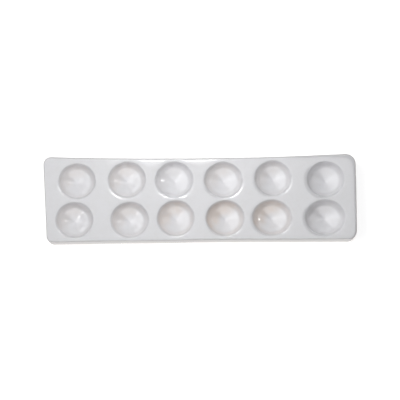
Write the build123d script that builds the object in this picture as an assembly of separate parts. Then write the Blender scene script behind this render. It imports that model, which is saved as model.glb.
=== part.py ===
"""Slab-built egg tray in glazed stoneware: a deck with two rows of cone-bottomed wells, on a skirt.

The pieces are the ones a potter joins with slip. The deck slab is pierced for the wells and its
holes have rolled lips. One turned cup is luted under each hole. Four walls, mitred at the corners,
carry the deck, and their lower edges are the foot. Firing makes them one, so nothing moves.

Units are millimetres. +X runs along the tray, +Y to its rear and +Z up. The origin is the middle
of the footprint, on the surface that the tray stands on.
"""

import os
from math import cos, radians, tan

from build123d import *

# Overall
LENGTH = 380.0  # along the rear side, between its corners before they are rounded
HEIGHT = 28.0  # from the foot to the top of the deck

# Wells, each to hold a hen's egg
MOUTH_WIDTH = 45.8  # across the outside of a lip, from front to rear
OVAL = 1.05  # a well's size along the tray over its size from front to rear
WELL_DEPTH = 20.0  # from the deck to where the sides of the cone would meet
LIP_RADIUS = 1.2  # how the deck rolls over into a well
SIDE_LEAN = 20.0  # degrees from upright, the side of a well
CONE_SLOPE = 29.0  # degrees from level, the bottom of a well
BLEND_RADIUS = 11.0  # between the side of a well and its cone
POINT_RADIUS = 2.5  # the bottom of the cone, left round

# Clay
DECK_THICKNESS = 6.0
CUP_THICKNESS = 2.4
WALL_THICKNESS = 3.2
SHOULDER_RADIUS = 2.4  # the top edge of the deck
FOOT_RADIUS = 1.0  # both lower edges of the walls

# Land left around the wells
END_LAND = 16.0  # from an end mouth to the end of the tray
ROW_LAND = 1.2  # between the mouths of the two rows
CUP_GAP = 1.0  # from the cups to the long walls, where those stand closest

# Outline, cut by eye and a little untrue
REAR_BOW = 3.8  # how far the middle of the rear side stands in from its corners
FRONT_BOW = 1.1
RIGHT_BULGE = 0.6  # how far the middle of the right end stands out from its corners
LEFT_SLANT = 4.3  # how far the front left corner stands in from the rear left corner
CORNER_RADIUS = {"rear_left": 9.0, "front_left": 8.0, "front_right": 10.5, "rear_right": 12.0}

# How far each cup strays from an even grid, from the left: along the tray as a share of the land
# between two mouths, and to the rear as a share of the gap between a cup and its long wall
REAR_STRAY = [(0.11, 0.0), (0.16, 0.9), (-0.05, 0.45), (-0.1, -0.45), (-0.08, 0.9), (0.24, -0.9)]
FRONT_STRAY = [(-0.17, -0.45), (0.42, -0.9), (0.08, 0.45), (0.04, 0.0), (-0.22, 0.0), (0.14, -0.45)]

# What follows from those sizes
LEAN_TAN = tan(radians(SIDE_LEAN))
SLOPE_TAN = tan(radians(CONE_SLOPE))
DECK_UNDERSIDE = HEIGHT - DECK_THICKNESS
SIDE_RADIUS = MOUTH_WIDTH / 2 - LIP_RADIUS * tan(radians(90 - SIDE_LEAN) / 2)
CUP_RADIUS = SIDE_RADIUS + CUP_THICKNESS / cos(radians(SIDE_LEAN)) - DECK_THICKNESS * LEAN_TAN
COLUMNS = len(REAR_STRAY)
MOUTH_LENGTH = MOUTH_WIDTH * OVAL
COLUMN_LAND = (LENGTH - 2 * END_LAND - COLUMNS * MOUTH_LENGTH) / (COLUMNS - 1)
COLUMN_PITCH = MOUTH_LENGTH + COLUMN_LAND
ROW_Y = (MOUTH_WIDTH + ROW_LAND) / 2
LONG_WALL_Y = ROW_Y + CUP_RADIUS + CUP_GAP + WALL_THICKNESS


def outline_corners():
    """The four corners of the outline before they are rounded."""
    return {
        "rear_left": (-LENGTH / 2, LONG_WALL_Y + REAR_BOW),
        "front_left": (LEFT_SLANT - LENGTH / 2, -LONG_WALL_Y - FRONT_BOW),
        "front_right": (LENGTH / 2 - RIGHT_BULGE, -LONG_WALL_Y - FRONT_BOW),
        "rear_right": (LENGTH / 2 - RIGHT_BULGE, LONG_WALL_Y + REAR_BOW),
    }


def outline_face():
    """The outline of the tray seen from above."""
    corner = outline_corners()
    middle_x = (corner["front_left"][0] + corner["front_right"][0]) / 2
    sides = [
        Line(corner["rear_left"], corner["front_left"]),
        ThreePointArc(corner["front_left"], (middle_x, -LONG_WALL_Y), corner["front_right"]),
        ThreePointArc(
            corner["front_right"], (LENGTH / 2, (REAR_BOW - FRONT_BOW) / 2), corner["rear_right"]
        ),
        ThreePointArc(corner["rear_right"], (0, LONG_WALL_Y), corner["rear_left"]),
    ]
    face = make_face(sides)
    for name, place in corner.items():
        sharp = face.vertices().sort_by_distance((*place, 0))[0]
        face = fillet(sharp, CORNER_RADIUS[name])
    return face


def well_solid(growth):
    """The hollow of a well on the Z axis under a deck at z 0, grown outwards by this much."""
    side_radius = SIDE_RADIUS + growth / cos(radians(SIDE_LEAN))
    depth = WELL_DEPTH + growth / cos(radians(CONE_SLOPE))
    turn_radius = (side_radius - depth * LEAN_TAN) / (1 - SLOPE_TAN * LEAN_TAN)
    turn_z = turn_radius * SLOPE_TAN - depth
    rise = LIP_RADIUS
    top_radius = side_radius + rise * LEAN_TAN
    section = FilletPolyline(
        (top_radius, rise),
        (turn_radius, turn_z),
        (0, -depth),
        (-turn_radius, turn_z),
        (-top_radius, rise),
        radius=[BLEND_RADIUS + growth, POINT_RADIUS + growth, BLEND_RADIUS + growth],
    )
    face = make_face([*section.edges(), Line((-top_radius, rise), (top_radius, rise))])
    half = face & Pos(MOUTH_WIDTH / 2, 0) * Rectangle(MOUTH_WIDTH, 4 * WELL_DEPTH)
    return scale(revolve(Plane.XZ * half, Axis.Z), by=(OVAL, 1, 1))


def well_places():
    """The name and place of every well, on the deck's top."""
    places = {}
    for row, side, strays in (("rear", 1, REAR_STRAY), ("front", -1, FRONT_STRAY)):
        for column, (along, across) in enumerate(strays):
            x = (column - (COLUMNS - 1) / 2) * COLUMN_PITCH + along * COLUMN_LAND
            y = side * ROW_Y + across * CUP_GAP
            places[f"{row}_{column + 1}"] = Pos(x, y, HEIGHT)
    return places


def deck_slab(outline, wells):
    slab = Pos(0, 0, DECK_UNDERSIDE) * extrude(outline, DECK_THICKNESS)
    top = slab.faces().sort_by(Axis.Z)[-1]
    slab = fillet(top.edges(), SHOULDER_RADIUS)
    for place in wells.values():
        slab -= place * well_solid(0)
    top = slab.faces().sort_by(Axis.Z)[-1]
    mouths = [edge for wire in top.inner_wires() for edge in wire.edges()]
    return fillet(mouths, LIP_RADIUS)


def well_cup():
    """One cup, on the Z axis under a deck whose top is at z 0."""
    under_deck = Pos(0, 0, -DECK_THICKNESS) * Box(
        2 * MOUTH_WIDTH, 2 * MOUTH_WIDTH, 2 * HEIGHT, align=(Align.CENTER, Align.CENTER, Align.MAX)
    )
    return (well_solid(CUP_THICKNESS) & under_deck) - well_solid(0)


def inner_face(outline):
    """The outline moved in by the thickness of a wall, with its bowed sides kept as true arcs."""
    sides = [
        Line(edge @ 0, edge @ 1)
        if edge.geom_type == GeomType.LINE
        else ThreePointArc(edge @ 0, edge @ 0.5, edge @ 1)
        for edge in offset(outline, -WALL_THICKNESS).edges()
    ]
    return make_face(sides)


def skirt(outline):
    """All four walls in one ring, standing on a rounded foot."""
    walls = extrude(outline - inner_face(outline), DECK_UNDERSIDE)
    foot = walls.faces().sort_by(Axis.Z)[0]
    return fillet(foot.edges(), FOOT_RADIUS)


def mitred_walls(ring):
    """The ring cut at its corners, along lines at 45 degrees, into the four walls."""
    corner = outline_corners()
    reach = LONG_WALL_Y
    inner = {
        name: (x - reach if x > 0 else x + reach, y - reach if y > 0 else y + reach)
        for name, (x, y) in corner.items()
    }
    outer = {
        name: (x + reach if x > 0 else x - reach, y + reach if y > 0 else y - reach)
        for name, (x, y) in corner.items()
    }
    walls = {}
    for wall, start, end in (
        ("left_end_wall", "rear_left", "front_left"),
        ("front_wall", "front_left", "front_right"),
        ("right_end_wall", "front_right", "rear_right"),
        ("rear_wall", "rear_right", "rear_left"),
    ):
        region = make_face(Polyline(outer[start], outer[end], inner[end], inner[start], close=True))
        walls[wall] = ring & extrude(region, DECK_UNDERSIDE)
    return walls


outline = outline_face()
centring = Pos(-outline.center(CenterOf.BOUNDING_BOX))
wells = well_places()
cup = well_cup()

pieces = {"deck_slab": deck_slab(outline, wells)}
pieces.update(mitred_walls(skirt(outline)))
for well, place in wells.items():
    pieces[f"well_cup_{well}"] = place * cup

os.makedirs("parts", exist_ok=True)
for name, piece in pieces.items():
    export_step(centring * piece, f"parts/{name}.step")
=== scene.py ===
"""The looks of a slab-built egg tray in white glazed stoneware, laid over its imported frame."""

from math import cos, pi, radians, sin, sqrt, tan

import bmesh
import bpy
from mathutils import Matrix, Vector, noise
from mathutils.bvhtree import BVHTree


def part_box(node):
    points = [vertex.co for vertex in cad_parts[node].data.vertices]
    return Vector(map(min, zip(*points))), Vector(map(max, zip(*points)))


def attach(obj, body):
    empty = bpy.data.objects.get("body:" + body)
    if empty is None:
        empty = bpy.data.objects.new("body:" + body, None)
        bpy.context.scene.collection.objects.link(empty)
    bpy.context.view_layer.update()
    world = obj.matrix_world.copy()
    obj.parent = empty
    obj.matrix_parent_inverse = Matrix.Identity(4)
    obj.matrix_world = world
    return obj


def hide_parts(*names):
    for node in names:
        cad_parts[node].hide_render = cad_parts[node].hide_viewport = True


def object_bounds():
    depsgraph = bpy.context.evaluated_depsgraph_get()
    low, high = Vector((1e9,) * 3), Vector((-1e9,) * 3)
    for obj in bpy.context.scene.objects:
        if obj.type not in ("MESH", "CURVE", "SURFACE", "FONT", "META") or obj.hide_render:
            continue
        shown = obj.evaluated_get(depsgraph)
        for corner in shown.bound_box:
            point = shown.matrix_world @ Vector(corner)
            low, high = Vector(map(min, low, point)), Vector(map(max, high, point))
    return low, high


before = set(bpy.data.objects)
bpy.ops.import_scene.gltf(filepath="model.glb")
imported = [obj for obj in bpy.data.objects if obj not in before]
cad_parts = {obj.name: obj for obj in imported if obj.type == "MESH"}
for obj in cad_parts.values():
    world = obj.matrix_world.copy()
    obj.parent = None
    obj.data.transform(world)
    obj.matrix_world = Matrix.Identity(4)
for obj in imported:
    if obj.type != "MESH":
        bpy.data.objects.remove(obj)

CAD_BOX = [list(corner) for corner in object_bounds()]

noise.seed_set(5)  # the same wander of the hand on every run

# The clay, in metres and as the frame has it
SIDE_LEAN = radians(20)  # from upright, the side of a well
CONE_SLOPE = radians(29)  # from level, the bottom of a well
BLEND_RADIUS = 0.011  # between the side of a well and its cone
POINT_RADIUS = 0.0025  # the bottom of the cone
LIP_RADIUS = 0.0012
CUP_THICKNESS = 0.0024
WALL_THICKNESS = 0.0032
SHOULDER_RADIUS = 0.0024
FOOT_RADIUS = 0.001
CONE_BOTTOM = 0.008  # where the sides of a cone would meet, above the table

# How finely the clay is divided
CELL_CUTS = (36, 28)  # edges along one patch of the deck, and across it
TURNS = 2 * sum(CELL_CUTS)  # edges round a well, the same as round its patch
APART = 0.05  # loops are bridged this far apart, which keeps them the right way round
LIP_STEPS = 8
SHOULDER_STEPS = 8
FOOT_STEPS = 4
WALL_STEPS = 5
INNER_STITCH = 0.00033  # short enough to carry the turning marks
OUTER_STITCH = 0.0016
SHOULDER_ROOM = 0.955  # draws the points inside the border in, clear of the shoulder
SMOOTHINGS = 12  # which spread the divisions of the deck's flat evenly
LIP_SHARE = 1.16  # reaches just past a lip, as a share of the hollow's radius under the deck

# How much longer or shorter than the even shape each well is along the tray, from the left
STRETCH = {
    "rear": (-0.026, 0.0, 0.004, 0.013, -0.026, -0.013),
    "front": (-0.013, 0.009, -0.017, 0.013, 0.05, 0.06),
}

# How strong the warm reflection painted inside each well is, from the left
REFLECTION_STRENGTH = {
    "rear": (0.35, 0.4, 0.12, 0.35, 0.3, 0.1),
    "front": (0.35, 0.45, 0.75, 1.0, 0.9, 0.15),
}
REFLECTION_SIDE = Vector((-0.64, 0.77))  # of a well, towards its rear left

UNDERSIDE, TOP = (corner.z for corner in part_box("deck_slab"))
ROWS = ("rear", "front")
COLUMNS = range(1, 7)


def ease(value, start, end):
    """0 up to start, 1 past end, and a smooth rise between them."""
    share = min(max((value - start) / (end - start), 0), 1)
    return share * share * (3 - 2 * share)


class Well:
    """Where a cup sits, and how wide its hollow is at the underside of the deck."""

    def __init__(self, row, column):
        self.row = row
        self.column = column
        self.node = f"well_cup_{row}_{column}"
        low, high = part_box(self.node)
        self.middle = ((low + high) / 2).xy
        self.oval = (high.x - low.x) / (high.y - low.y)
        self.radius = (high.y - low.y) / 2 - CUP_THICKNESS / cos(SIDE_LEAN)
        self.stretch = STRETCH[row][column - 1]
        # how strongly a warm reflection is painted inside this well
        self.reflection_strength = REFLECTION_STRENGTH[row][column - 1]

    def frame_at(self, z):
        """Turns a round form on the axis at z 0 into this well's oval one at that height."""
        return Matrix.Translation((*self.middle, z)) @ Matrix.Diagonal((self.oval, 1, 1, 1))

    def share(self, point, stretch=0):
        """How far a point lies from the axis, where 1 is the hollow's edge under the deck."""
        offset = Vector(point).xy - self.middle
        return Vector((offset.x / (self.oval * (1 + stretch)), offset.y)).length / self.radius

    def hand_share(self, point):
        """The same once the maker's hands have stretched the well."""
        return self.share(point, self.stretch)


WELLS = [Well(row, column) for row in ROWS for column in COLUMNS]


def nearest_well(point):
    """The well of a point's own patch of the deck."""
    column = sum(point.x > line for line in ALONG[1:-1])
    rear, front = WELLS[column], WELLS[column + len(COLUMNS)]
    return rear if point.y > (rear.middle.y + front.middle.y) / 2 else front


def patch_lines():
    """The lines that part the deck into one patch for each well."""
    low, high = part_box("deck_slab")
    columns = [[well.middle.x for well in WELLS if well.column == column] for column in COLUMNS]
    centres = [sum(pair) / 2 for pair in columns]
    along = [low.x, *((a + b) / 2 for a, b in zip(centres, centres[1:])), high.x]
    across = [low.y, sum(well.middle.y for well in WELLS) / len(WELLS), high.y]
    return along, across


ALONG, ACROSS = patch_lines()
HALF_WIDTH = (ACROSS[-1] - ACROSS[0]) / 2


def outer_walls():
    """The four CAD walls as one surface to find the edge of the tray with."""
    form = bmesh.new()
    for node in ("front_wall", "rear_wall", "left_end_wall", "right_end_wall"):
        form.from_mesh(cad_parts[node].data)
    tree = BVHTree.FromBMesh(form)
    form.free()
    return tree


WALL_SURFACE = outer_walls()


def fit_to_edge(verts):
    """Stretches points laid out on a straight-sided deck so that its border lies on the tray's."""
    middle = (ACROSS[-1] + ACROSS[0]) / 2
    for vert in verts:
        heart_x = min(max(vert.co.x, ALONG[0] + HALF_WIDTH), ALONG[-1] - HALF_WIDTH)
        heart = Vector((heart_x, middle, UNDERSIDE / 2))
        out = Vector((vert.co.x, vert.co.y, heart.z)) - heart
        if out.length < 1e-6:
            continue
        straight = HALF_WIDTH * out.length / max(abs(out.x), abs(out.y))
        away = out.normalized()
        hit = WALL_SURFACE.ray_cast(heart + away, -away)[0]
        room = 1 if out.length > 0.999 * straight else SHOULDER_ROOM
        vert.co.xy = (heart + out * room * (hit - heart).length / straight).xy


def run_between_rows(verts):
    """Bends the line between the two rows so that it keeps midway between their lips."""
    centres = [WELLS[column].middle.x for column in range(len(COLUMNS))]
    strays = [
        (rear.middle.y + front.middle.y) / 2 - ACROSS[1]
        for rear, front in zip(WELLS, WELLS[len(COLUMNS) :])
    ]
    for vert in verts:
        column = min(max(sum(vert.co.x > centre for centre in centres), 1), len(centres) - 1)
        share = ease(vert.co.x, centres[column - 1], centres[column])
        stray = strays[column - 1] * (1 - share) + strays[column] * share
        vert.co.y += stray * max(1 - abs(vert.co.y - ACROSS[1]) / HALF_WIDTH, 0)


def patch(form, well, z):
    """One well's patch of the deck, as a loop of short edges."""
    west, east = ALONG[well.column - 1 : well.column + 1]
    south, north = (ACROSS[1], ACROSS[2]) if well.row == "rear" else (ACROSS[0], ACROSS[1])
    place = (
        Matrix.Translation(((west + east) / 2, (south + north) / 2, z))
        @ Matrix.Diagonal((east - west, north - south, 1, 1))
        @ Matrix.Rotation(pi / 4, 4, "Z")
    )
    corners = bmesh.ops.create_circle(form, segments=4, radius=sqrt(0.5), matrix=place)["verts"]
    sides = {edge for corner in corners for edge in corner.link_edges}
    for cuts, direction in zip(CELL_CUTS, (Vector((1, 0, 0)), Vector((0, 1, 0)))):
        chosen = [
            edge
            for edge in sides
            if abs((edge.verts[0].co - edge.verts[1].co).normalized().dot(direction)) > 0.9
        ]
        bmesh.ops.subdivide_edges(form, edges=chosen, cuts=cuts - 1)


def ring(form, well, radius, z):
    bmesh.ops.create_circle(form, segments=TURNS, radius=radius, matrix=well.frame_at(z))


def new_edges(form, maker, *args):
    """The edges that one step adds."""
    before = set(form.edges)
    maker(form, *args)
    return [edge for edge in form.edges if edge not in before]


def is_at(edge, z):
    return all(abs(vert.co.z - z) < 1e-6 for vert in edge.verts)


def sharp_edges(form, z):
    return [
        edge
        for edge in form.edges
        if is_at(edge, z) and len(edge.link_faces) == 2 and edge.calc_face_angle() > radians(50)
    ]


def is_by_well(point):
    """Whether a point lies within the reach of a well's lip."""
    return nearest_well(point).share(point) < LIP_SHARE


def divide_flat(form, z, cuts):
    """Divides the deck's flat between each well and the border of its patch."""
    flat = [face for face in form.faces if all(abs(vert.co.z - z) < 1e-6 for vert in face.verts)]
    around = {vert for face in flat for vert in face.verts if is_by_well(vert.co)}
    spokes = {
        edge
        for face in flat
        for edge in face.edges
        if (edge.verts[0] in around) != (edge.verts[1] in around)
    }
    new = bmesh.ops.subdivide_edges(form, edges=list(spokes), cuts=cuts, use_grid_fill=True)
    inner = [vert for vert in new["geom_inner"] if isinstance(vert, bmesh.types.BMVert)]
    for _ in range(SMOOTHINGS):
        bmesh.ops.smooth_vert(form, verts=inner, factor=0.5, use_axis_x=True, use_axis_y=True)


def round_over(form, edges, width, steps):
    bmesh.ops.bevel(
        form,
        geom=edges,
        offset=width,
        offset_type="OFFSET",
        segments=steps,
        profile=0.5,
        affect="EDGES",
        material=-1,
    )


def deck_form():
    """The deck slab: a sharp block with tapered holes, its mouths and its shoulder then rounded."""
    form = bmesh.new()
    for well in WELLS:
        mouth = well.radius + (TOP - UNDERSIDE) * tan(SIDE_LEAN)
        loops = [
            new_edges(form, patch, well, TOP + APART),
            new_edges(form, ring, well, mouth, TOP),
            new_edges(form, ring, well, well.radius, UNDERSIDE),
            new_edges(form, patch, well, UNDERSIDE - APART),
        ]
        borders = {vert for edge in loops[0] + loops[-1] for vert in edge.verts}
        fit_to_edge(borders)
        run_between_rows(borders)
        for first, second in zip(loops, loops[1:]):
            bmesh.ops.bridge_loops(form, edges=first + second)
    for vert in form.verts:
        vert.co.z = min(max(vert.co.z, UNDERSIDE), TOP)
    bmesh.ops.remove_doubles(form, verts=form.verts, dist=1e-6)
    bmesh.ops.bridge_loops(form, edges=[edge for edge in form.edges if edge.is_boundary])
    bmesh.ops.recalc_face_normals(form, faces=form.faces)
    mouths = [edge for edge in sharp_edges(form, TOP) if is_by_well(edge.verts[0].co)]
    round_over(form, mouths, LIP_RADIUS * tan((pi / 2 - SIDE_LEAN) / 2), LIP_STEPS)
    shoulder = [edge for edge in sharp_edges(form, TOP) if not is_by_well(edge.verts[0].co)]
    round_over(form, shoulder, SHOULDER_RADIUS, SHOULDER_STEPS)
    divide_flat(form, TOP, 6)
    divide_flat(form, UNDERSIDE, 3)
    return form


def skirt_form(deck):
    """The walls in one ring: the deck's lower edge drawn down to the table and thickened inwards."""
    form = deck.copy()
    border = {
        vert
        for edge in sharp_edges(form, UNDERSIDE)
        for vert in edge.verts
        if not is_by_well(vert.co)
    }
    bmesh.ops.delete(form, geom=form.faces[:], context="FACES_ONLY")
    bmesh.ops.delete(form, geom=[vert for vert in form.verts if vert not in border], context="VERTS")
    drawn = bmesh.ops.extrude_edge_only(form, edges=form.edges[:])["geom"]
    foot = [vert for vert in drawn if isinstance(vert, bmesh.types.BMVert)]
    bmesh.ops.translate(form, verts=foot, vec=(0, 0, -UNDERSIDE))
    upright = [edge for edge in form.edges if edge.calc_length() > UNDERSIDE / 2]
    bmesh.ops.subdivide_edges(form, edges=upright, cuts=WALL_STEPS)
    bmesh.ops.recalc_face_normals(form, faces=form.faces)
    bmesh.ops.solidify(form, geom=form.faces[:], thickness=WALL_THICKNESS)
    bmesh.ops.recalc_face_normals(form, faces=form.faces)
    round_over(form, sharp_edges(form, 0), FOOT_RADIUS, FOOT_STEPS)
    return form


def mitre_points():
    """Where the cut through each corner comes out of the walls, by end and by side."""
    points = {}
    for end, end_wall in ((-1, "left_end_wall"), (1, "right_end_wall")):
        for side, long_wall in ((-1, "front_wall"), (1, "rear_wall")):
            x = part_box(long_wall)[max(end, 0)].x
            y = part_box(end_wall)[max(side, 0)].y
            points[end, side] = Vector((x, y, 0))
    return points


MITRES = mitre_points()


def cut_away(form, point, direction):
    """Cuts the form through the point and drops what lies on the side that direction points to."""
    everything = form.verts[:] + form.edges[:] + form.faces[:]
    bmesh.ops.bisect_plane(
        form, geom=everything, plane_co=point, plane_no=direction, clear_outer=True
    )


def long_wall_form(skirt, side):
    """The front wall, where side is -1, or the rear one, mitred at both ends."""
    form = skirt.copy()
    cut_away(form, (0, ACROSS[1], 0), (0, -side, 0))
    for end in (-1, 1):
        cut_away(form, MITRES[end, side], (end, -side, 0))
    bmesh.ops.holes_fill(form, edges=form.edges, sides=0)
    return form


def end_wall_form(skirt, end):
    """The left end wall, where end is -1, or the right one, mitred at both ends."""
    form = skirt.copy()
    cut_away(form, (0, 0, 0), (-end, 0, 0))
    for side in (-1, 1):
        cut_away(form, MITRES[end, side], (-end, side, 0))
    bmesh.ops.holes_fill(form, edges=form.edges, sides=0)
    return form


def cup_line(form, radius, growth, stitch):
    """A cup's face in section, from the deck's underside down past the axis, in short edges."""
    before = set(form.edges)
    side_radius = radius + growth / cos(SIDE_LEAN)
    bottom = CONE_BOTTOM - growth / cos(CONE_SLOPE)
    lean, slope = tan(SIDE_LEAN), tan(CONE_SLOPE)
    turn_radius = (side_radius - (UNDERSIDE - bottom) * lean) / (1 - slope * lean)
    turn_z = bottom + turn_radius * slope
    corners = [
        form.verts.new((x, 0, z))
        for x, z in (
            (side_radius, UNDERSIDE),
            (turn_radius, turn_z),
            (0, bottom),
            (-turn_radius, turn_z),
        )
    ]
    for pair in zip(corners, corners[1:]):
        form.edges.new(pair)
    bend = pi / 2 - SIDE_LEAN - CONE_SLOPE
    round_corner(form, corners[1], BLEND_RADIUS + growth, bend, stitch)
    round_corner(form, corners[2], POINT_RADIUS + growth, 2 * CONE_SLOPE, stitch / 2)
    for edge in [edge for edge in form.edges if edge not in before]:
        cuts = int(edge.calc_length() / (1.3 * stitch))
        bmesh.ops.subdivide_edges(form, edges=[edge], cuts=cuts)


def round_corner(form, corner, radius, bend, stitch):
    bmesh.ops.bevel(
        form,
        geom=[corner],
        offset=radius * tan(bend / 2),
        offset_type="OFFSET",
        segments=int(radius * bend / stitch) + 1,
        profile=0.5,
        affect="VERTICES",
        material=-1,
    )


def cup_form(well):
    """One turned cup: its section spun about its axis, with fine turning marks inside."""
    form = bmesh.new()
    cup_line(form, well.radius, CUP_THICKNESS, OUTER_STITCH)
    cup_line(form, well.radius, 0, INNER_STITCH)
    form.edges.new([vert for vert in form.verts if len(vert.link_edges) == 1 and vert.co.x > 0])
    everything = form.verts[:] + form.edges[:]
    bmesh.ops.bisect_plane(
        form, geom=everything, plane_co=(0, 0, 0), plane_no=(1, 0, 0), clear_inner=True
    )
    bmesh.ops.remove_doubles(form, verts=form.verts, dist=1e-6)
    bmesh.ops.spin(
        form,
        geom=form.verts[:] + form.edges[:],
        cent=(0, 0, 0),
        axis=(0, 0, 1),
        angle=2 * pi,
        steps=TURNS,
        use_merge=True,
    )
    bmesh.ops.remove_doubles(form, verts=form.verts, dist=1e-6)
    bmesh.ops.recalc_face_normals(form, faces=form.faces)
    form.transform(well.frame_at(0))
    return form


# How far hands and fingers have softened the even shape
SLOW_WANDER, SLOW_WAVES = 0.00035, 11  # sideways, and how many waves there are in a metre
QUICK_WANDER, QUICK_WAVES = 0.00012, 30
SAG = 0.0002  # of all the clay above the table
SLOW_HEAVE = 0.00022  # up and down from there
HOLLOW = 0.00026  # of a cone, halfway up its side
HOLLOW_REACH = 0.013
FINE_RING, FINE_STEP = 3e-6, 0.0016  # the height of the turning marks, and from one to the next
BROAD_RING, BROAD_STEP = 9e-6, 0.0041
MOUTH_FALL = 0.00035  # of the deck, towards a mouth or a long edge
MOUTH_START = 1.34  # in shares of a well's radius, where the fall to its mouth starts
MOUTH_RUN = 0.2  # from there to where it is steepest
EDGE_RUN = 0.0065  # from a long edge to where the fall to it starts

# What the walls of the tray see below them
BRIGHT_FLOOR = (1.4, 1.38, 1.36, 1)
DIM_FLOOR = (0.4, 0.38, 0.36, 1)
DIM_CEILING = (0.33, 0.33, 0.333, 1)


def hand_shift(point):
    """How far the maker's hands have moved the clay at this point."""
    well = nearest_well(point)
    pull = ease(well.share(point), 1.4, LIP_SHARE) * well.stretch
    shift = Vector((pull * (point.x - well.middle.x), 0, 0))
    slow = noise.noise_vector(point * SLOW_WAVES)
    quick = noise.noise_vector(point * QUICK_WAVES + Vector((7, 3, 5)))
    shift.xy += SLOW_WANDER * slow.xy + QUICK_WANDER * quick.xy
    heave = SLOW_HEAVE * slow.z + QUICK_WANDER * quick.z - SAG
    shift.z = heave * ease(point.z, 0.002, UNDERSIDE)
    return shift


def turning_marks(form, well):
    """Raises the fine rings that a potter's fingers leave inside a cup, and hollows its cone."""
    form.normal_update()
    for vert in form.verts:
        from_axis = well.share(vert.co) * well.radius
        inside = vert.normal.z > 0 and vert.co.z < UNDERSIDE - 1e-5
        if not inside:
            continue
        run = from_axis + vert.co.z
        wander = noise.noise(vert.co * 60) * 0.6
        fade = ease(from_axis, 0.0005, 0.003) * ease(vert.co.z, UNDERSIDE, UNDERSIDE - 0.003)
        rings = FINE_RING * sin(2 * pi * (run / FINE_STEP + wander))
        rings += BROAD_RING * sin(2 * pi * (run / BROAD_STEP + wander))
        hollow = HOLLOW * sin(pi * min(from_axis / HOLLOW_REACH, 1)) ** 2
        vert.co += vert.normal * (rings * fade - hollow)


def soften_mouths(deck):
    """Lets the deck fall gently to every mouth, and to its rear and front edges."""
    for vert in deck.verts:
        if vert.co.z < UNDERSIDE + 1e-6:
            continue
        into_mouths = [(MOUTH_START - well.share(vert.co)) / MOUTH_RUN for well in WELLS]
        fall = sum(min(max(into, 0), 1) ** 2 for into in into_mouths)
        side = 1 if vert.co.y > ACROSS[1] else -1
        outside = Vector((vert.co.x, side, UNDERSIDE / 2))
        edge = WALL_SURFACE.ray_cast(outside, Vector((0, -side, 0)))[0]
        if edge:
            fall += max(1 - abs(edge.y - vert.co.y) / EDGE_RUN, 0) ** 2
        height = (vert.co.z - UNDERSIDE) / (TOP - UNDERSIDE)
        vert.co.z -= MOUTH_FALL * height * fall


def make_forms():
    deck = deck_form()
    skirt = skirt_form(deck)
    forms = {
        "deck_slab": deck,
        "front_wall": long_wall_form(skirt, -1),
        "rear_wall": long_wall_form(skirt, 1),
        "left_end_wall": end_wall_form(skirt, -1),
        "right_end_wall": end_wall_form(skirt, 1),
    }
    skirt.free()
    soften_mouths(deck)
    for well in WELLS:
        forms[well.node] = cup_form(well)
        turning_marks(forms[well.node], well)
    return forms


def settle(forms):
    """Shifts every form by hand and then fits them together in the box of the CAD model."""
    verts = [vert for form in forms.values() for vert in form.verts]
    for vert in verts:
        vert.co += hand_shift(vert.co)
    for axis in range(3):
        low = min(vert.co[axis] for vert in verts)
        high = max(vert.co[axis] for vert in verts)
        wanted_low, wanted_high = (corner[axis] for corner in CAD_BOX)
        size = (wanted_high - wanted_low) / (high - low)
        for vert in verts:
            vert.co[axis] = wanted_low + (vert.co[axis] - low) * size


def finish_piece(form, node, finish):
    """Turns a form into a piece of the tray that stands for a CAD node."""
    for face in form.faces:
        face.smooth = True
    for edge in form.edges:
        edge.smooth = edge.calc_face_angle(0) < radians(35)
    mesh = bpy.data.meshes.new(f"glazed_{node}")
    form.to_mesh(mesh)
    form.free()
    mesh.materials.append(finish)
    piece = bpy.data.objects.new(f"glazed_{node}", mesh)
    bpy.context.scene.collection.objects.link(piece)
    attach(piece, "root")
    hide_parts(node)
    return piece


class Wire:
    """A socket of a material's nodes that can be reckoned with like a number."""

    def __init__(self, recipe, socket):
        self.recipe = recipe
        self.socket = socket

    def _math(self, operation, *values):
        settings = {"operation": operation}
        return self.recipe.node("ShaderNodeMath", settings, dict(enumerate(values)))[0]

    def __add__(self, other):
        return self._math("ADD", self, other)

    def __sub__(self, other):
        return self._math("SUBTRACT", self, other)

    def __mul__(self, other):
        return self._math("MULTIPLY", self, other)

    def __rsub__(self, other):
        return self._math("SUBTRACT", other, self)

    __radd__ = __add__
    __rmul__ = __mul__


class Recipe:
    """The nodes of one material, or of the room's own light."""

    def __init__(self, owner):
        self.owner = owner
        self.owner.use_nodes = True
        self.tree = self.owner.node_tree
        self.tree.nodes.clear()

    def node(self, kind, settings=None, sockets=None):
        """Adds a node and returns its outputs. The settings are set before the sockets."""
        made = self.tree.nodes.new(kind)
        for name, value in (settings or {}).items():
            if name == "stops":
                self._set_stops(made.color_ramp, value)
            else:
                setattr(made, name, value)
        for name, value in (sockets or {}).items():
            if isinstance(value, Wire):
                self.tree.links.new(value.socket, made.inputs[name])
            else:
                made.inputs[name].default_value = value
        return Outputs(self, made)

    @staticmethod
    def _set_stops(ramp, stops):
        for place, value in stops[1:-1]:
            ramp.elements.new(place)
        for element, (place, value) in zip(ramp.elements, stops):
            element.position = place
            element.color = (value, value, value, 1)

    def noise(self, place, scale, detail=2.0, roughness=0.5, distortion=0.0):
        sockets = {
            "Vector": place,
            "Scale": scale,
            "Detail": detail,
            "Roughness": roughness,
            "Distortion": distortion,
        }
        return self.node("ShaderNodeTexNoise", {}, sockets)["Fac"]

    def blend(self, share, first, second):
        """Mixes two colours."""
        sockets = {0: share, 6: first, 7: second}
        return self.node("ShaderNodeMix", {"data_type": "RGBA"}, sockets)[2]

    def ramp(self, value, *stops):
        return self.node("ShaderNodeValToRGB", {"stops": stops}, {0: value})[0]

    def attribute(self, name):
        return self.node("ShaderNodeAttribute", {"attribute_name": name})["Fac"]


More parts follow.
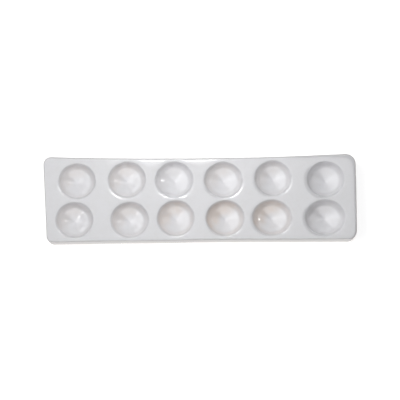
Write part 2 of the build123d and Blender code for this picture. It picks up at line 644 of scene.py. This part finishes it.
class Outputs:
    def __init__(self, recipe, made):
        self.recipe = recipe
        self.made = made

    def __getitem__(self, name):
        return Wire(self.recipe, self.made.outputs[name])


def white_glaze():
    """A cool white gloss glaze over pale clay, thin and warmer on its edges, with a warm reflection
    painted into its colour inside the wells, bare at the foot.
    """
    recipe = Recipe(bpy.data.materials.new("white_glaze_on_stoneware"))
    place = recipe.node("ShaderNodeTexCoord")["Object"]
    height = recipe.node("ShaderNodeSeparateXYZ", {}, {0: place})["Z"]
    clouds = recipe.noise(place, 28, 3)
    mottle = recipe.noise(place, 160, 3, 0.6)
    grain = recipe.noise(place, 1400, 2)
    thin = recipe.attribute("thin_glaze")
    reflection_mask = recipe.attribute("warm_glaze")

    white = recipe.blend(clouds, (0.83, 0.83, 0.855, 1), (0.80, 0.80, 0.815, 1))
    grey_spots = recipe.ramp(mottle, (0.45, 0), (0.75, 0.35))
    white = recipe.blend(grey_spots, white, (0.76, 0.755, 0.76, 1))
    # painted warm reflection: a peach tint laid on the rear left side of each well
    painted_peach_reflection = recipe.ramp(reflection_mask * (0.55 + 0.9 * mottle), (0.0, 0), (1.0, 0.5))
    body = recipe.blend(painted_peach_reflection, white, (0.78, 0.64, 0.53, 1))
    worn = recipe.ramp(thin * (0.6 + 0.8 * mottle), (0.1, 0), (1.0, 0.3))
    body = recipe.blend(worn, body, (0.58, 0.54, 0.50, 1))
    bare = recipe.ramp(height * 400 + (mottle - 0.5) * 0.9, (0.35, 1), (0.6, 0))
    clay = recipe.blend(grain, (0.52, 0.43, 0.34, 1), (0.66, 0.57, 0.47, 1))
    colour = recipe.blend(bare, body, clay)

    pull = mottle * 0.5 + clouds * 1.5
    bump = {"Strength": 0.07, "Distance": 0.0003, "Height": pull}
    glaze_bump = recipe.node("ShaderNodeBump", {}, bump)["Normal"]
    rough = 0.03 + 0.03 * mottle + 0.5 * bare
    finish = {"Base Color": colour, "Roughness": rough, "IOR": 1.5, "Normal": glaze_bump}
    shader = recipe.node("ShaderNodeBsdfPrincipled", {}, finish)
    recipe.node("ShaderNodeOutputMaterial", {}, {"Surface": shader["BSDF"]})
    return recipe.owner


def thinness(point, normal):
    """How thin the glaze ran: 1 where the clay turns sharply over an edge, 0 on the flats."""
    well = nearest_well(point)
    if well.hand_share(point) < LIP_SHARE:
        return 0.0
    if point.z < UNDERSIDE + 0.002:
        return 0.25 * ease(point.z, 0.012, UNDERSIDE) * ease(normal.z, 0.9, 0.2)
    return ease(normal.z, 0.95, 0.6)


def reflection_strength(point):
    """How strongly a warm reflection is painted into the glaze colour on the rear left side of a
    well.
    """
    well = nearest_well(point)
    spot = well.hand_share(point)
    if spot > LIP_SHARE:
        return 0.0
    offset = Vector(point).xy - well.middle
    facing = offset.normalized().dot(REFLECTION_SIDE) if spot > 0.02 else 0.0
    side = ease(facing, -0.35, 0.8) * ease(spot, 0.1, 0.6) * ease(spot, 1.15, 0.95)
    ring = 0.3 * ease(spot, 0.7, 0.95) * ease(spot, 1.15, 1.0)
    return well.reflection_strength * min(side + ring, 1.0)


def paint_glaze(piece):
    """Notes where the glaze ran thin on edges, and where a warm reflection is painted inside the
    wells.
    """
    mesh = piece.data
    thin = mesh.attributes.new("thin_glaze", "FLOAT", "POINT")
    reflection_mask = mesh.attributes.new("warm_glaze", "FLOAT", "POINT")
    for vert in mesh.vertices:
        thin.data[vert.index].value = thinness(vert.co, vert.normal)
        reflection_mask.data[vert.index].value = reflection_strength(vert.co)


def set_the_light(name, place, aim, size, brightness, turn=0, shades=True):
    """A soft panel of even brightness. One that doesn't shade is only seen in the gloss."""
    data = bpy.data.lights.new(name, "AREA")
    data.shape = "RECTANGLE"
    data.size, data.size_y = size
    data.energy = brightness * size[0] * size[1] * pi
    light = bpy.data.objects.new(name, data)
    facing = (Vector(aim) - Vector(place)).to_track_quat("-Z", "Y").to_matrix().to_4x4()
    light.matrix_world = Matrix.Translation(place) @ facing @ Matrix.Rotation(radians(turn), 4, "Z")
    light.visible_diffuse = shades
    bpy.context.scene.collection.objects.link(light)


def hang_in_gloss(name, place, size, brightness, turn=0):
    """A level panel that only the gloss shows."""
    below = (place[0], place[1], 0)
    set_the_light(name, place, below, size, brightness, turn, shades=False)


def lamp_in_gloss(name, place, brightness):
    """A small lamp that only the gloss shows, as a bright spot inside the wells."""
    set_the_light(name, place, (0, 0, 0), (0.14, 0.14), brightness, shades=False)


def lights():
    """Soft panels over the tray, whose edges draw the straight lines in its cones."""
    hang_in_gloss("long_ceiling_panel", (-0.96, -0.08, 1.1), (2.4, 5.0), 3.0, turn=31.7)
    hang_in_gloss("right_rear_panel", (1.12, 1.24, 1.1), (1.8, 4.0), 1.3, turn=48)
    set_the_light("left_window", (-0.95, -0.2, 1.0), (0, 0, 0), (0.8, 0.7), 1.6)
    set_the_light("back_panel", (-0.02, 0.42, 0.75), (0, 0, 0), (0.3, 0.2), 2)
    set_the_light("back_lamp", (-0.024, 0.15, 0.36), (0, 0, 0), (0.11, 0.048), 25)
    hang_in_gloss("rear_strip", (-0.038, 0.135, 0.45), (0.17, 0.074), 3)
    lamp_in_gloss("right_lamp", (1.78, 0.25, 1.3), 22)
    lamp_in_gloss("front_lamp", (-1.3, -1.1, 1.15), 24)


def room():
    """The even light of a dim room, over a floor that is brighter to the front and left."""
    air = Recipe(bpy.data.worlds.new("dim_room"))
    bpy.context.scene.world = air.owner
    look = air.node("ShaderNodeTexCoord")["Generated"]
    way = air.node("ShaderNodeSeparateXYZ", {}, {0: look})
    to_front_left = air.ramp(0.5 - 0.2 * way["X"] - 0.45 * way["Y"], (0.25, 0), (0.9, 1))
    floor = air.blend(to_front_left, DIM_FLOOR, BRIGHT_FLOOR)
    rise = air.ramp(way["Z"] * 0.5 + 0.5, (0.44, 0), (0.56, 1))
    colour = air.blend(rise, floor, DIM_CEILING)
    glow = air.node("ShaderNodeBackground", {}, {"Color": colour, "Strength": 1.0})
    air.node("ShaderNodeOutputWorld", {}, {"Surface": glow["Background"]})


def table_top():
    """A table covered in pale paper, which throws no light up at the tray."""
    form = bmesh.new()
    bmesh.ops.create_grid(form, x_segments=1, y_segments=1, size=6)
    mesh = bpy.data.meshes.new("table_top")
    form.to_mesh(mesh)
    form.free()
    table = bpy.data.objects.new("table_top", mesh)
    table.visible_diffuse = False
    table.visible_glossy = False
    bpy.context.scene.collection.objects.link(table)
    paper = Recipe(bpy.data.materials.new("pale_paper"))
    finish = {
        "Base Color": (0.9, 0.9, 0.9, 1),
        "Roughness": 0.9,
        "Emission Color": (1, 1, 1, 1),
        "Emission Strength": 0.6,
    }
    shader = paper.node("ShaderNodeBsdfPrincipled", {}, finish)
    paper.node("ShaderNodeOutputMaterial", {}, {"Surface": shader["BSDF"]})
    mesh.materials.append(paper.owner)


def camera():
    """Nearly straight above the tray, a little to its front."""
    data = bpy.data.cameras.new("camera")
    data.sensor_width = 36
    data.lens = 208
    data.clip_end = 20
    eye = bpy.data.objects.new("camera", data)
    aim = Vector((0, -0.0024, 0.028))
    elevation, roll, distance = radians(83), radians(0.6), 2.8
    eye.location = aim + distance * Vector((0, -cos(elevation), sin(elevation)))
    look = (aim - eye.location).to_track_quat("-Z", "Y").to_matrix().to_4x4()
    eye.matrix_world = Matrix.Translation(eye.location) @ look @ Matrix.Rotation(-roll, 4, "Z")
    bpy.context.scene.collection.objects.link(eye)
    bpy.context.scene.camera = eye


forms = make_forms()
settle(forms)
glaze = white_glaze()
for node, form in forms.items():
    paint_glaze(finish_piece(form, node, glaze))
lights()
room()
table_top()
camera()
bpy.context.scene.view_settings.view_transform = "Standard"
